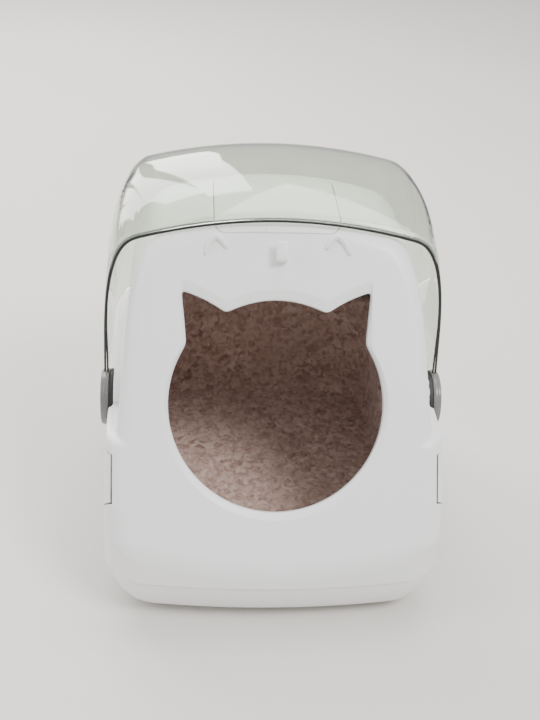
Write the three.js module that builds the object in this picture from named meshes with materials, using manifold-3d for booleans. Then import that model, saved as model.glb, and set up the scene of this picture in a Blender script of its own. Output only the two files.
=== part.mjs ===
// Hooded cat litter box: tray, upper housing with a slanted front panel, clear swinging hood.
// Millimetres, +Z up, origin at the middle of the footprint on the floor, front towards -Y.
import * as THREE from 'three';
import { mergeVertices } from 'three/addons/utils/BufferGeometryUtils.js';
import Module from 'manifold-3d';

const wasm = await Module();
wasm.setup();

// ---------- driving dimensions ----------
const HALF_WIDTH = 196.5;          // lower housing at the seam
const SIDE_TAPER = 0.022;          // how much its walls lean in for each mm of height
const FRONT = -11;                 // skirt front, before the model is centred
const REAR = 477;                  // lower housing rear wall
const HOOD_REAR = 481;
const GAP = 0.35;                  // between touching pieces
const WALL = 3;                    // moulded wall thickness

const FACE_TILT = 32 * Math.PI / 180;   // front panel, leaning back from vertical
const FACE_FOOT_Z = 105;                // height where the face plane crosses y = 0
const SEAM_Z = 62;                      // tray to housing parting line
const LEDGE_Z = 212;                    // step under the hood's edge

const UPPER_HALF = 180;            // upper housing half width at the ledge
const UPPER_TAPER = 0.085;
const UPPER_REAR = 450;
const UPPER_CORNER = 100;          // rear corners in plan
const UPPER_FOOT_Z = 88;           // the flat face starts here
const ROOF_Z = 430;                // top of the upper housing
const ROOF_RADIUS = 170;           // roof rolls down into the rear wall
const ROOF_CROWN = 22;
const SHOULDER = 40;
const FACE_ROUND = 18;             // soft edge between face and sides

const PIVOT_Y = 178;               // hood axis
const PIVOT_Z = 200;
const CAP_X = 196.6;               // bottom of the cap's pocket in the hood's arm
const CAP_RADIUS = 33;
const WASHER_RADIUS = 34;
const EAR_X = 193.4;               // inner side of the hood's arm
const EAR_RADIUS = 34;             // round end of the hood's arm
const RECESS_RADIUS = 37.5;        // round recess in the housing
const RECESS_X = 187.4;
const BOSS_X = 177.5;              // the recess stands on a boss above the ledge
const SCREW_HEAD = 3.5;
const SCREW_RADIUS = 4;

const OUTSIDE_X = 210;             // beyond every side wall, for cutting through

const HOOD_HALF = 200.5;
const HOOD_WALL = 3;
const HOOD_BEAD = 4.6;             // thicker front rim
const HOOD_BOTTOM_Z = 213;
const HOOD_TAPER = 0.025;
const HOOD_RIM_TILT = 4.2 * Math.PI / 180;
const HOOD_RIM_Z = 430.5;          // outer top of the front rim
const HOOD_CREST_Z = 456;
const HOOD_CREST_Y = 305;
const HOOD_CORNER = 112;
const HOOD_ROLL = 156;             // crest rolls down into the rear wall
const HOOD_CROWN = 24;
const HOOD_SHOULDER = 38;

const COVER_Z = 216.5;             // lower edge of the rear cover, just above the ledge
const COVER_DEPTH = 9;             // its front edge, behind the face

// Entrance outline on the face (across, up) and the wider rim of the dish round it.
const ENTRANCE = {
  radius: 122.5, centre: 170, join: [102, 67], earSide: [104, 262], tip: [108, 298],
  earTop: [82, 291], notch: [57.5, 273.5], arch: 302.5,
};
const DISH = {
  radius: 127, centre: 166.5, join: [107.6, 67.5], earSide: [107.6, 270], tip: [108.6, 311],
  earTop: [84, 303], notch: [58, 286], arch: 313,
};
const DISH_DEPTH = 3.6;
const FLANGE_DEPTH = 4.8;          // the entrance's edge runs this far in

const HOOK_X = 4;
const HOOK_WIDTH = 12;

const HATCH_HALF = 71;
const HATCH_FRONT_U = 365;
const HATCH_REAR_Y = 322;
const HATCH_CORNER = 14;

const LATCH_X = 186;               // the latch lies outside this plane
const LATCH_GAP = 2;               // dark slit round the latch
const LATCH_TOP_Z = 197;
const LATCH_PIN_X = 189.5;
const LATCH_PIN_Z = 192;
const LATCH_REAR_Y = 128;
const PIN_RADIUS = 1.8;
const BARREL_RADIUS = 3.8;

const TRAY_FLOOR_Z = 7.5;
const MAT_Z = 34;                  // top of the mat's pad
const MAT_BACK_Z = 205;            // top of its raised back
const MAT_THICKNESS = 22;
const TRAY_LIP_Z = 104;            // tray rim, standing inside the housing
const LIP_CLEARANCE = 1.2;
const FOOT_HEIGHT = 5.8;
const FOOT_SHOWN = 4;              // the tray's underside above the floor
const FOOT_RADIUS = 12;
const FOOT_PLACES = [[-120, 60], [120, 60], [-110, 400], [110, 400]];

const white = () => new THREE.MeshStandardMaterial({ color: 0xe6e6e6, roughness: 0.42, metalness: 0 });
const smoke = () => new THREE.MeshStandardMaterial({ color: 0x8c8f88, roughness: 0.08, metalness: 0 });
const grey = () => new THREE.MeshStandardMaterial({ color: 0x9a9a98, roughness: 0.35, metalness: 0 });
const black = () => new THREE.MeshStandardMaterial({ color: 0x1c1c1b, roughness: 0.55, metalness: 0 });
const steel = () => new THREE.MeshStandardMaterial({ color: 0xb8bbc0, roughness: 0.3, metalness: 1 });
const fleece = () => new THREE.MeshStandardMaterial({ color: 0x866a5e, roughness: 0.95, metalness: 0 });

// ---------- solids ----------
function solidOf(geometry) {
  const bare = geometry.clone();
  bare.deleteAttribute('normal');
  bare.deleteAttribute('uv');
  const merged = mergeVertices(bare, 1e-4);
  const mesh = new wasm.Mesh({
    numProp: 3,
    vertProperties: new Float32Array(merged.attributes.position.array),
    triVerts: new Uint32Array(merged.index.array),
  });
  return new wasm.Manifold(mesh);
}

function geometryOf(solid) {
  const mesh = solid.getMesh();
  const geometry = new THREE.BufferGeometry();
  geometry.setAttribute('position', new THREE.BufferAttribute(new Float32Array(mesh.vertProperties), 3));
  geometry.setIndex(new THREE.BufferAttribute(new Uint32Array(mesh.triVerts), 1));
  geometry.computeVertexNormals();
  return geometry;
}

function signedVolume(points, faces) {
  let sum = 0;
  for (let i = 0; i < faces.length; i += 3) {
    const [a, b, c] = [points[faces[i]], points[faces[i + 1]], points[faces[i + 2]]];
    sum += a.dot(new THREE.Vector3().crossVectors(b, c));
  }
  return sum / 6;
}

// Skins a stack of equal, closed loops of Vector3, and closes both ends with a fan round the middle.
function loft(loops) {
  const count = loops[0].length;
  const points = loops.flat();
  const faces = [];
  for (let k = 0; k + 1 < loops.length; k++) {
    for (let i = 0; i < count; i++) {
      const a = k * count + i;
      const b = k * count + (i + 1) % count;
      faces.push(a, b, b + count, a, b + count, a + count);
    }
  }
  for (const loop of [loops[0], loops.at(-1)]) {
    const start = points.indexOf(loop[0]);
    const middle = points.length;
    points.push(loop.reduce((sum, p) => sum.add(p), new THREE.Vector3()).divideScalar(count));
    for (let i = 0; i < count; i++) {
      const ends = [start + i, start + (i + 1) % count];
      faces.push(middle, ...(loop === loops[0] ? ends.reverse() : ends));
    }
  }
  if (signedVolume(points, faces) < 0) {
    faces.reverse();
  }
  const geometry = new THREE.BufferGeometry();
  const flatPoints = points.flatMap((p) => [p.x, p.y, p.z]);
  geometry.setAttribute('position', new THREE.Float32BufferAttribute(flatPoints, 3));
  geometry.setIndex(faces);
  return solidOf(geometry);
}

function extruded(shape, depth, segments = 12) {
  return new THREE.ExtrudeGeometry(shape, { depth, bevelEnabled: false, curveSegments: segments });
}

function block(x0, x1, y0, y1, z0, z1) {
  const box = new THREE.BoxGeometry(x1 - x0, y1 - y0, z1 - z0);
  box.translate((x0 + x1) / 2, (y0 + y1) / 2, (z0 + z1) / 2);
  return solidOf(box);
}

function roundedRectangle(x0, x1, y0, y1, radius) {
  const shape = new THREE.Shape();
  shape.moveTo(x0 + radius, y0);
  shape.lineTo(x1 - radius, y0);
  shape.absarc(x1 - radius, y0 + radius, radius, -Math.PI / 2, 0, false);
  shape.absarc(x1 - radius, y1 - radius, radius, 0, Math.PI / 2, false);
  shape.absarc(x0 + radius, y1 - radius, radius, Math.PI / 2, Math.PI, false);
  shape.absarc(x0 + radius, y0 + radius, radius, Math.PI, Math.PI * 1.5, false);
  return shape;
}

// A disc round the hood's axis, from x0 to x1.
function disc(x0, x1, radius, sides = 36) {
  const cylinder = new THREE.CylinderGeometry(radius, radius, x1 - x0, sides);
  cylinder.rotateZ(Math.PI / 2);
  cylinder.translate((x0 + x1) / 2, PIVOT_Y, PIVOT_Z);
  return solidOf(cylinder);
}

// A rod running front to back, from y0 to y1.
function alongY(x, z, radius, y0, y1) {
  const rod = new THREE.CylinderGeometry(radius, radius, y1 - y0, 18);
  rod.translate(x, (y0 + y1) / 2, z);
  return solidOf(rod);
}

// ---------- the housing's shape ----------
const faceY = (z) => (z - FACE_FOOT_Z) * Math.tan(FACE_TILT);
const arcInset = (distance, radius) => radius - Math.sqrt(Math.max(0, radius ** 2 - distance ** 2));
const softMax = (a, b, soft) => (a + b + Math.sqrt((a - b) ** 2 + soft ** 2)) / 2;

// Front edge of the skirt in plan: a shallow bow with round corners.
function skirtY(x, half, inset) {
  const corner = 46 - inset * 0.5;
  const bow = 12 * (x / 160) ** 2;
  return FRONT + inset + bow + arcInset(Math.max(0, Math.abs(x) - (half - corner)), corner);
}

// One level of the lower housing or the tray; inset moves every wall inwards.
function level(z, inset, followFace) {
  const lean = SIDE_TAPER * Math.max(0, z - SEAM_Z);
  const half = HALF_WIDTH - lean - inset;
  const rear = REAR - lean - inset;
  const corner = 110 - inset;
  const loop = [];
  for (let i = 0; i <= 20; i++) {
    const x = half * Math.sin((i / 20 - 0.5) * Math.PI);
    const edge = arcInset(Math.max(0, Math.abs(x) - (half - 22)), 22);
    const face = faceY(z) + 0.5 + inset / Math.cos(FACE_TILT) + edge;
    const y = followFace ? softMax(skirtY(x, half, inset), face, 4) : skirtY(x, half, inset);
    loop.push(new THREE.Vector3(x, y, z));
  }
  for (let i = 0; i <= 6; i++) {
    const turn = (i / 6) * Math.PI / 2;
    loop.push(new THREE.Vector3(half - corner + corner * Math.cos(turn), rear - corner + corner * Math.sin(turn), z));
  }
  for (let i = 0; i <= 6; i++) {
    const turn = (i / 6 + 1) * Math.PI / 2;
    loop.push(new THREE.Vector3(corner - half + corner * Math.cos(turn), rear - corner + corner * Math.sin(turn), z));
  }
  return loop;
}

function lowerHousing(inset, bottom, top) {
  const loops = [];
  const steps = 6;
  for (let k = 0; k <= steps; k++) {
    loops.push(level(bottom + (top - bottom) * k / steps, inset, true));
  }
  return loft(loops);
}

// An arched section: straight tapering sides, round shoulders and a crowned top.
// place(x, z) gives the point in space.
function arch({ bottom, top, half, taper, crown, shoulder, shrink }, place) {
  const shoulderZ = top - crown - shoulder;
  const widthAt = (z) => half - taper * (z - bottom);
  const inner = widthAt(shoulderZ) - shoulder;
  const right = [];
  for (let i = 0; i <= 2; i++) {
    const z = bottom + (shoulderZ - bottom) * i / 2;
    right.push([widthAt(z), z]);
  }
  for (let i = 1; i <= 6; i++) {
    const turn = (i / 6) * Math.PI / 2;
    right.push([inner + shoulder * Math.cos(turn), shoulderZ + shoulder * Math.sin(turn)]);
  }
  for (let i = 1; i <= 5; i++) {
    const x = inner * (1 - i / 5);
    right.push([x, top - crown * (x / inner) ** 2]);
  }
  const left = right.slice(0, -1).reverse().map(([x, z]) => [-x, z]);
  return right.concat(left).map(([x, z]) => place(x - Math.sign(x) * Math.min(shrink(x, z), Math.abs(x)), z));
}

// Height of a roof that runs level and then rolls down into a rear wall.
function rollHeight(y, level0, rear, radius) {
  return level0 - arcInset(Math.max(0, y - (rear - radius)), radius);
}

function upperHousing(inset, bottom) {
  const top = ROOF_Z - inset;
  const rear = UPPER_REAR - inset;
  const roll = ROOF_RADIUS - inset;
  const corner = UPPER_CORNER - inset;
  const half = UPPER_HALF + UPPER_TAPER * (LEDGE_Z - bottom) - inset;
  const faceShift = inset / Math.cos(FACE_TILT);
  const loops = [];
  const station = (footY, topY, rounding, depth) => {
    const lineY = (z) => footY + (topY - footY) * (z - bottom) / (ROOF_Z - bottom) + depth;
    const roof = heightUnder((y) => rollHeight(y, top, rear, roll), lineY, bottom + 60, top);
    const shrink = (x, z) => arcInset(THREE.MathUtils.clamp(lineY(z) - (rear - corner), 0, corner), corner);
    loops.push(arch({
      bottom, top: roof - rounding, half: half - rounding, taper: UPPER_TAPER,
      crown: ROOF_CROWN, shoulder: SHOULDER - inset, shrink,
    }, (x, z) => new THREE.Vector3(x, lineY(z), z)));
  };
  const footFront = faceY(bottom) + faceShift;
  const topFront = faceY(ROOF_Z) + faceShift;
  const round = FACE_ROUND - inset;
  for (let i = 0; i <= 4; i++) {
    const turn = (i / 4) * Math.PI / 2;
    station(footFront, topFront, round * (1 - Math.sin(turn)), round * (1 - Math.cos(turn)) / Math.cos(FACE_TILT));
  }
  const start = round / Math.cos(FACE_TILT);
  const steps = 10;
  for (let i = 1; i <= steps; i++) {
    const along = Math.sin((i / steps) * Math.PI / 2) ** 0.9;
    station(
      THREE.MathUtils.lerp(footFront + start, rear, along),
      THREE.MathUtils.lerp(topFront + start, rear, along),
      0, 0,
    );
  }
  return loft(loops);
}

// Prism with its outline in the side view (y, z), from x0 to x1.
function sidePrism(points, x0, x1) {
  const shape = new THREE.Shape(points.map(([y, z]) => new THREE.Vector2(y, z)));
  const geometry = extruded(shape, x1 - x0);
  geometry.rotateX(Math.PI / 2);
  geometry.rotateZ(Math.PI / 2);
  geometry.translate(x0, 0, 0);
  return solidOf(geometry);
}

// ---------- regions that split the shell ----------
// Everything behind the face and above the ledge: the rear cover's share of the shell.
function coverBlock(grow) {
  const low = COVER_Z - grow;
  const back = (COVER_DEPTH - grow) / Math.cos(FACE_TILT);
  const high = ROOF_Z + 60;
  const points = [[faceY(low) + back, low], [REAR + 40, low], [REAR + 40, high], [faceY(high) + back, high]];
  return sidePrism(points, -OUTSIDE_X, OUTSIDE_X);
}

// The cat's-head outline: a round face with two pointed ears and a low arch between them.
function catHead({ radius, centre, join, earSide, tip, earTop, notch, arch }) {
  const turn = Math.atan2(join[1], join[0]);
  const shape = new THREE.Shape();
  shape.absarc(0, centre, radius, Math.PI - turn, turn, false);
  shape.quadraticCurveTo(...earSide, ...tip);
  shape.quadraticCurveTo(...earTop, ...notch);
  shape.quadraticCurveTo(0, arch, -notch[0], notch[1]);
  shape.quadraticCurveTo(-earTop[0], earTop[1], -tip[0], tip[1]);
  shape.quadraticCurveTo(-earSide[0], earSide[1], Math.cos(Math.PI - turn) * radius,
    centre + Math.sin(turn) * radius);
  return shape;
}

const onFace = (across, up, out) => new THREE.Vector3(
  across,
  up * Math.sin(FACE_TILT) - out * Math.cos(FACE_TILT),
  FACE_FOOT_Z + up * Math.cos(FACE_TILT) + out * Math.sin(FACE_TILT),
);

// A plug through the face whose outline and depth change from row to row.
function facePlug(rows) {
  const outlines = [ENTRANCE, DISH].map((head) => catHead(head).getPoints(9).slice(0, -1));
  return loft(rows.map(([share, out]) => outlines[0].map((inner, i) => {
    const point = inner.clone().lerp(outlines[1][i], share);
    return onFace(point.x, point.y, out);
  })));
}

// Plan outline of the hatch; its front stands over the top of the face.
function hatchPrism(grow) {
  const frontY = HATCH_FRONT_U * Math.sin(FACE_TILT) - grow;
  const half = HATCH_HALF + grow;
  const outline = roundedRectangle(-half, half, frontY, HATCH_REAR_Y + grow, HATCH_CORNER + grow);
  const geometry = extruded(outline, 60, 6);
  geometry.translate(0, 0, 395);
  return solidOf(geometry);
}

function latchProfile(grow) {
  return [
    [-40, LATCH_TOP_Z + grow], [LATCH_REAR_Y + grow, LATCH_TOP_Z + grow],
    [LATCH_REAR_Y + grow, 112 - grow], [74 - grow / 2, 112 - grow],
    [36 - grow / 2, 153 - grow], [-40, 153 - grow],
  ];
}

// Builds the right-hand piece and its mirror image.
function bothSides(build) {
  const right = build();
  return [['right', right], ['left', right.mirror([1, 0, 0])]];
}

// A distance range from the middle plane, turned to the right (+1) or the left (-1).
const spanOf = (side, near, far) => (side > 0 ? [near, far] : [-far, -near]);

// Upright prism on the skirt's plan; it trims the face where the skirt's corners curve away.
const planPrism = (inset) => loft([SEAM_Z - 10, ROOF_Z + 40].map((z) => level(z, inset, false)));

// ---------- pieces ----------
function makeShell() {
  const outer = upperHousing(0, UPPER_FOOT_Z).intersect(planPrism(0))
    .add(lowerHousing(0, SEAM_Z, LEDGE_Z));
  const inner = upperHousing(WALL, UPPER_FOOT_Z - 10).intersect(planPrism(WALL))
    .add(lowerHousing(WALL, SEAM_Z - 2, LEDGE_Z - WALL));
  return { outer, shell: outer.subtract(inner) };
}

// The whole shell with pivot recesses, latch pockets and the dished entrance.
function makeHousing({ outer, shell }) {
  let housing = shell;
  const pocketX = LATCH_X - LATCH_GAP;
  for (const side of [-1, 1]) {
    const seat = disc(...spanOf(side, RECESS_X - WALL, 194), RECESS_RADIUS + WALL);
    const aboveLedge = block(-OUTSIDE_X, OUTSIDE_X, FRONT, REAR, LEDGE_Z - WALL, ROOF_Z);
    housing = housing.add(disc(...spanOf(side, BOSS_X, RECESS_X), RECESS_RADIUS + WALL).intersect(aboveLedge));
    const pocketWall = sidePrism(latchProfile(LATCH_GAP + WALL), ...spanOf(side, pocketX - WALL, 200));
    housing = housing.add(seat.add(pocketWall).intersect(outer));
    housing = housing.subtract(disc(...spanOf(side, RECESS_X, OUTSIDE_X), RECESS_RADIUS));
    housing = housing.subtract(disc(...spanOf(side, BOSS_X, OUTSIDE_X), SCREW_RADIUS + GAP));
    housing = housing.subtract(sidePrism(latchProfile(LATCH_GAP), ...spanOf(side, pocketX, OUTSIDE_X)));
    housing = housing.subtract(alongY(side * LATCH_PIN_X, LATCH_PIN_Z, PIN_RADIUS + GAP, 120, 134));
  }
  const flange = facePlug([[1.4, -WALL + 0.5], [1.4, -DISH_DEPTH - WALL], [0.5, -DISH_DEPTH - FLANGE_DEPTH]]);
  const dish = facePlug([[1.2, DISH_DEPTH * 0.2], [0.04, -DISH_DEPTH], [0.04, -DISH_DEPTH - 1]]);
  const doorway = facePlug([[0, 20], [0, -40]]);
  return housing.add(flange).subtract(dish).subtract(doorway).subtract(hatchPrism(GAP));
}

function makeFrontShell(housing) {
  let front = housing.subtract(coverBlock(GAP));
  for (const side of [-1, 1]) {
    front = front.add(earRidge(side));
  }
  return front;
}

const makeRearCover = (housing) => housing.intersect(coverBlock(0));

// A small raised arch like a cat's ear.
function earRidge(side) {
  const shape = new THREE.Shape();
  shape.moveTo(-14, -10);
  shape.quadraticCurveTo(-6, 9, 0, 10);
  shape.quadraticCurveTo(6, 9, 14, -10);
  shape.lineTo(8, -6);
  shape.quadraticCurveTo(3, 1, 0, 1);
  shape.quadraticCurveTo(-3, 1, -8, -6);
  const geometry = extruded(shape, 3.5 + 1, 8);
  geometry.rotateZ(-side * 0.22);
  geometry.translate(side * 67.5, 350, -1);
  geometry.rotateX(Math.PI / 2 - FACE_TILT);
  geometry.translate(0, 0, FACE_FOOT_Z);
  return solidOf(geometry);
}

// Scoop hook: a foot on the face and a finger that turns up.
function makeHook() {
  const profile = new THREE.Shape();
  profile.moveTo(-GAP, 330);
  profile.lineTo(-10, 330);
  profile.quadraticCurveTo(-14, 330, -14, 335);
  profile.lineTo(-14, 353);
  profile.lineTo(-10.5, 353);
  profile.lineTo(-10.5, 338);
  profile.lineTo(-4, 338);
  profile.lineTo(-4, 346);
  profile.lineTo(-GAP, 346);
  const geometry = extruded(profile, HOOK_WIDTH, 5);
  geometry.rotateY(Math.PI / 2);
  geometry.translate(HOOK_X - HOOK_WIDTH / 2, 0, 0);
  geometry.rotateX(Math.PI / 2 - FACE_TILT);
  geometry.translate(0, 0, FACE_FOOT_Z);
  return solidOf(geometry);
}

const makeHatch = ({ shell }) => shell.intersect(hatchPrism(0));

// Height of the hood's crest line: it climbs from the rim, runs level and rolls down at the rear.
function hoodTop(y, inset) {
  const crest = HOOD_CREST_Z - inset;
  const rise = HOOD_CREST_Z - HOOD_RIM_Z;
  const rimY = PIVOT_Y + (HOOD_RIM_Z - PIVOT_Z) * Math.tan(HOOD_RIM_TILT);
  if (y < HOOD_CREST_Y) {
    return crest - rise * ((HOOD_CREST_Y - y) / (HOOD_CREST_Y - rimY)) ** 2;
  }
  return rollHeight(y, crest, HOOD_REAR - inset, HOOD_ROLL - inset);
}

// The highest point of a station's slanting line that still lies under the roof curve.
function heightUnder(roofAt, lineY, bottom, top) {
  let low = bottom;
  let high = top;
  for (let i = 0; i < 40; i++) {
    const middle = (low + high) / 2;
    if (middle <= roofAt(lineY(middle))) {
      low = middle;
    } else {
      high = middle;
    }
  }
  return low;
}

function hoodLoft(inset, bottom, ahead) {
  const tilt = Math.tan(HOOD_RIM_TILT);
  const corner = HOOD_CORNER - inset;
  const rear = HOOD_REAR - inset;
  const footFront = PIVOT_Y + (bottom - PIVOT_Z) * tilt - ahead;
  const topFront = PIVOT_Y + (HOOD_CREST_Z - PIVOT_Z) * tilt - ahead;
  const loops = [];
  const steps = 13;
  for (let i = 0; i <= steps; i++) {
    const along = Math.sin((i / steps) * Math.PI / 2);
    const foot = THREE.MathUtils.lerp(footFront, rear, along);
    const head = THREE.MathUtils.lerp(topFront, rear, along);
    const lineY = (z) => foot + (head - foot) * (z - bottom) / (HOOD_CREST_Z - bottom);
    const top = heightUnder((y) => hoodTop(y, inset), lineY, bottom + 40, HOOD_CREST_Z);
    const shrink = (x, z) => arcInset(THREE.MathUtils.clamp(lineY(z) - (rear - corner), 0, corner), corner);
    loops.push(arch({
      bottom, top, half: HOOD_HALF - inset, taper: HOOD_TAPER,
      crown: HOOD_CROWN, shoulder: HOOD_SHOULDER - inset, shrink,
    }, (x, z) => new THREE.Vector3(x, lineY(z), z)));
  }
  return loft(loops);
}

function makeHood() {
  const hollow = hoodLoft(HOOD_WALL, HOOD_BOTTOM_Z - 8, 0)
    .subtract(block(-210, 210, 100, PIVOT_Y + 24, 150, 500));
  const mouth = hoodLoft(HOOD_BEAD, HOOD_BOTTOM_Z - 8, 12);
  let hood = hoodLoft(0, HOOD_BOTTOM_Z, 0).subtract(hollow).subtract(mouth);
  for (const side of [-1, 1]) {
    hood = hood.add(disc(...spanOf(side, EAR_X, HOOD_HALF - 0.6), EAR_RADIUS));
    hood = hood.subtract(disc(...spanOf(side, CAP_X, OUTSIDE_X), CAP_RADIUS + GAP));
    hood = hood.subtract(disc(...spanOf(side, 180, OUTSIDE_X), SCREW_RADIUS + GAP));
  }
  return hood;
}

const makeCap = () => disc(CAP_X + GAP, 203.5, CAP_RADIUS)
  .subtract(disc(190, 200.5, SCREW_RADIUS + GAP, 24));
const makeWasher = () => disc(RECESS_X + GAP, EAR_X - GAP, WASHER_RADIUS)
  .subtract(disc(170, 200, SCREW_RADIUS + GAP, 24));
const SCREW_X = RECESS_X - WALL - GAP - SCREW_HEAD;
const makeScrew = () => disc(SCREW_X, 200.1, SCREW_RADIUS, 24)
  .add(disc(SCREW_X, SCREW_X + SCREW_HEAD, SCREW_RADIUS + 4, 24));

function makeLatch({ shell }) {
  const skin = shell.intersect(sidePrism(latchProfile(0), LATCH_X, OUTSIDE_X));
  return skin.add(alongY(LATCH_PIN_X, LATCH_PIN_Z, BARREL_RADIUS, 78, 122))
    .subtract(alongY(LATCH_PIN_X, LATCH_PIN_Z, PIN_RADIUS + GAP, 0, 200));
}

const makeLatchPin = () => alongY(LATCH_PIN_X, LATCH_PIN_Z, PIN_RADIUS, 76, 132.6);

// Tray below the seam, with a lip that stands inside the housing.
function makeTray() {
  const bowl = [[FOOT_SHOWN, 40], [9, 28], [18, 18], [30, 11], [45, 5.5], [SEAM_Z - GAP, 2]];
  const body = loft(bowl.map(([z, inset]) => level(z, inset, false)));
  const lipInset = WALL + LIP_CLEARANCE;
  const lip = loft([SEAM_Z - 6, 70, 80, 90, TRAY_LIP_Z].map((z) => level(z, lipInset, true)));
  const cavity = loft([[TRAY_FLOOR_Z, 43], [12, 31.5], [21, 21.5], [33, 14.5], [48, 9], [58, 7]]
    .map(([z, inset]) => level(z, inset, false)));
  const mouth = loft([56, 66, 78, 90, TRAY_LIP_Z + 6].map((z) => level(z, lipInset + WALL, true)));
  let tray = body.add(lip).subtract(cavity).subtract(mouth);
  for (const [x, y] of FOOT_PLACES) {
    tray = tray.subtract(upright(x, y, FOOT_RADIUS + GAP, 0, FOOT_HEIGHT + GAP));
  }
  return tray;
}

function upright(x, y, radius, z0, z1) {
  const rod = new THREE.CylinderGeometry(radius, radius, z1 - z0, 28);
  rod.rotateX(Math.PI / 2);
  return solidOf(rod.translate(x, y, (z0 + z1) / 2));
}

function makeFoot(x, y) {
  const edge = 1.5;
  const profile = [[0, 0], [FOOT_RADIUS - edge, 0], [FOOT_RADIUS, edge],
    [FOOT_RADIUS, FOOT_HEIGHT], [0, FOOT_HEIGHT]];
  const geometry = new THREE.LatheGeometry(profile.map(([r, z]) => new THREE.Vector2(r, z)), 28);
  geometry.rotateX(Math.PI / 2);
  return solidOf(geometry.translate(x, y, 0));
}

// Fleece liner: a pad on the tray's floor that turns up at the rear and dies away along the sides.
function makeMat() {
  const rows = [[TRAY_FLOOR_Z + GAP, 46], [14, 34], [24, 26], [MAT_Z, 22]];
  const pad = loft(rows.map(([z, inset]) => level(z, inset, false)));
  const outer = [[24, 26], [36, 17], [50, 12], [60, 11], [MAT_BACK_Z, 11]];
  const wall = (list, extra) => loft(list.map(([z, inset]) => level(z, inset + extra, false)));
  const ring = wall(outer, 0).subtract(wall([[MAT_Z - 2, 17], [50, 12], [MAT_BACK_Z + 4, 11]], MAT_THICKNESS));
  const rise = [[170, MAT_Z - 12], [REAR, MAT_Z - 12], [REAR, MAT_BACK_Z], [350, MAT_BACK_Z], [190, MAT_Z]];
  return pad.add(ring.intersect(sidePrism(rise, -OUTSIDE_X, OUTSIDE_X)));
}

// ---------- assembly ----------
const box = new THREE.Group();
box.name = 'hooded_litter_box';

function addPiece(name, solid, material) {
  const mesh = new THREE.Mesh(geometryOf(solid), material());
  mesh.name = name;
  box.add(mesh);
}

const parts = makeShell();
const housing = makeHousing(parts);
addPiece('base_tray', makeTray(), white);
for (const [i, [x, y]] of FOOT_PLACES.entries()) {
  addPiece(`tray_foot_${i + 1}`, makeFoot(x, y), black);
}
addPiece('fleece_mat', makeMat(), fleece);
addPiece('front_shell', makeFrontShell(housing), white);
addPiece('rear_cover', makeRearCover(housing), white);
addPiece('scoop_hook', makeHook(), white);
addPiece('top_hatch', makeHatch(parts), white);
addPiece('hood_shell', makeHood(), smoke);
for (const [side, solid] of bothSides(makeCap)) addPiece(`pivot_cap_${side}`, solid, grey);
for (const [side, solid] of bothSides(makeWasher)) addPiece(`pivot_washer_${side}`, solid, black);
for (const [side, solid] of bothSides(makeScrew)) addPiece(`pivot_screw_${side}`, solid, steel);
for (const [side, solid] of bothSides(() => makeLatch(parts))) addPiece(`side_latch_${side}`, solid, white);
for (const [side, solid] of bothSides(makeLatchPin)) addPiece(`latch_pin_${side}`, solid, steel);

// The middle of the footprint comes to the origin.
const extent = new THREE.Box3().setFromObject(box);
box.position.y = -(extent.min.y + extent.max.y) / 2;

export default box;
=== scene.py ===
# Hooded cat litter box: white shell with a cat-head entrance, smoky swinging hood, fleece mat.
import bpy
import bmesh
import math
import numpy as np
from mathutils import Matrix, Vector, noise


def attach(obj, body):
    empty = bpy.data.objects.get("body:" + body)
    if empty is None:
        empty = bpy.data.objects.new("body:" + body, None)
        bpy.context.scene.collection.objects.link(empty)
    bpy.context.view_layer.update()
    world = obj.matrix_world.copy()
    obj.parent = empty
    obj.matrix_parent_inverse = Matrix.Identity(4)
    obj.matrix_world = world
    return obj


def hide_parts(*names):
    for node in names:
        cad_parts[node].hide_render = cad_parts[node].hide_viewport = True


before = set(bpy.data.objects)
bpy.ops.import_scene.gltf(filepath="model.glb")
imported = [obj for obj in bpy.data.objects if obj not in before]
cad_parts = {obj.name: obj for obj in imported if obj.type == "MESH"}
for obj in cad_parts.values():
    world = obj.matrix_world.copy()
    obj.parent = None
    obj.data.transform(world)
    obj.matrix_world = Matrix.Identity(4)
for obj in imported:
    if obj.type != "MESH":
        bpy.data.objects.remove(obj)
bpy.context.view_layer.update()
print("frame loaded")

mm = 0.001
shiftY = -235.128      # the sizes below count y from the foot of the face, the frame from the middle

# ---- materials ----


def linear(hexColour):
    parts = [int(hexColour[i:i + 2], 16) / 255 for i in (0, 2, 4)]
    return [c / 12.92 if c <= 0.04045 else ((c + 0.055) / 1.055) ** 2.4 for c in parts] + [1.0]


def addNode(tree, kind, settings=None, links=None):
    node = tree.nodes.new(kind)
    for key, value in (settings or {}).items():
        if isinstance(key, str) and hasattr(node, key):
            setattr(node, key, value)
        else:
            node.inputs[key].default_value = value
    for socket, source in (links or {}).items():
        tree.links.new(source, node.inputs[socket])
    return node


def newMaterial(name):
    material = bpy.data.materials.new(name)
    material.use_nodes = True
    tree = material.node_tree
    tree.nodes.clear()
    output = addNode(tree, "ShaderNodeOutputMaterial")
    place = addNode(tree, "ShaderNodeTexCoord").outputs["Object"]
    return material, tree, output, place


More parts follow.
